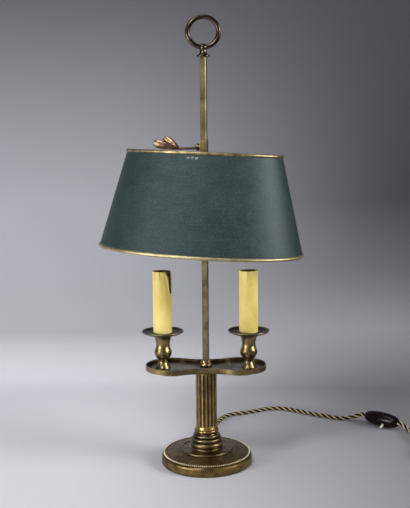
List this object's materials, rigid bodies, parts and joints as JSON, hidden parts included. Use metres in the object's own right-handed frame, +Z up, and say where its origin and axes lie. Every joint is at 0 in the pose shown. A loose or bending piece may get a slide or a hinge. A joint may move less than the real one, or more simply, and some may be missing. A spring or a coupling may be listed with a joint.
{
  "type": "bouillotte lamp",
  "caption": "Table lamp with two candle-style lights on a waisted tray, an oval metal shade that slides on a square rod with a carrying ring, and a fluted column on a round foot.",
  "frame": {"origin": "on the table, in the middle of the foot's underside, under the column's axis", "axes": "+X to the right in the picture, along the tray; +Y away from the viewer; +Z up along the rod"},
  "size_m": [0.5564, 0.331, 0.6132],
  "materials": {
    "brass": "antiqued brass, satin with worn highlights",
    "dark_brass": "darkened brass, matte floor and worn edge",
    "bronze": "cast bronze, brownish and satin",
    "steel": "plain steel",
    "iron": "raw cast iron",
    "felt": "green wool felt",
    "wax_card": "waxed card sleeve, ivory yellow",
    "porcelain": "white moulded insulator",
    "painted_tole": "dark green paint outside, cream inside",
    "bakelite": "dark brown moulded bakelite, polished",
    "cord": "twisted silk-covered cord, gold and brown",
    "wire": "insulated single wires"
  },
  "bodies": {
    "root": {"foot_shell": "brass", "bead_border": "brass", "base_weight": "iron", "base_plate": "steel", "felt_pad": "felt", "cord_bushing": "bakelite", "terminal_block": "porcelain", "cord_inner": "cord", "tie_tube": "brass", "base_nut": "steel", "base_washer": "steel", "base_moulding": "brass", "column": "brass", "tray": "dark_brass", "wire_cover": "dark_brass", "cup_locknuts": "steel", "rod_socket": "brass", "rod": "brass", "finial_base": "brass", "finial_ring": "brass", "cup_left": "brass", "cup_right": "brass", "drip_pan_left": "dark_brass", "drip_pan_right": "dark_brass", "candle_left": "wax_card", "candle_right": "wax_card", "nipple_left": "brass", "nipple_right": "brass", "lampholder_left": "bakelite", "lampholder_right": "bakelite", "screw_shells": "brass", "centre_contacts": "steel", "lead_left": "wire", "lead_right": "wire", "switch_lower": "bakelite", "switch_upper": "bakelite", "switch_screws": "steel", "switch_contacts": "brass", "cord_lamp_side": "cord", "cord_plug_side": "cord", "cord_coil": "cord", "plug_body": "bakelite", "plug_grip": "bakelite", "plug_pins": "steel"},
    "shade": {"shade_shell": "painted_tole", "shade_rim_top": "brass", "shade_rim_bottom": "brass", "shade_bar": "brass", "bar_rivets": "brass", "shade_slide": "brass"},
    "key": {"key_screw": "bronze", "key_leaf": "bronze"},
    "push": {"switch_push_bar": "porcelain"}
  },
  "joints": [
    {"name": "shade_height", "type": "slide", "parent": "root", "child": "shade", "axis": [0, 0, 1], "range_m": [-0.1, 0.108]},
    {"name": "key_turn", "type": "hinge", "parent": "shade", "child": "key", "pos_m": [0, 0, 0.4387], "axis": [-0.9744, 0.225, 0], "range_deg": [0, 720]},
    {"name": "switch_push", "type": "slide", "parent": "root", "child": "push", "axis": [0.6077, 0.6516, 0.454], "range_m": [0, 0.005]}
  ]
}
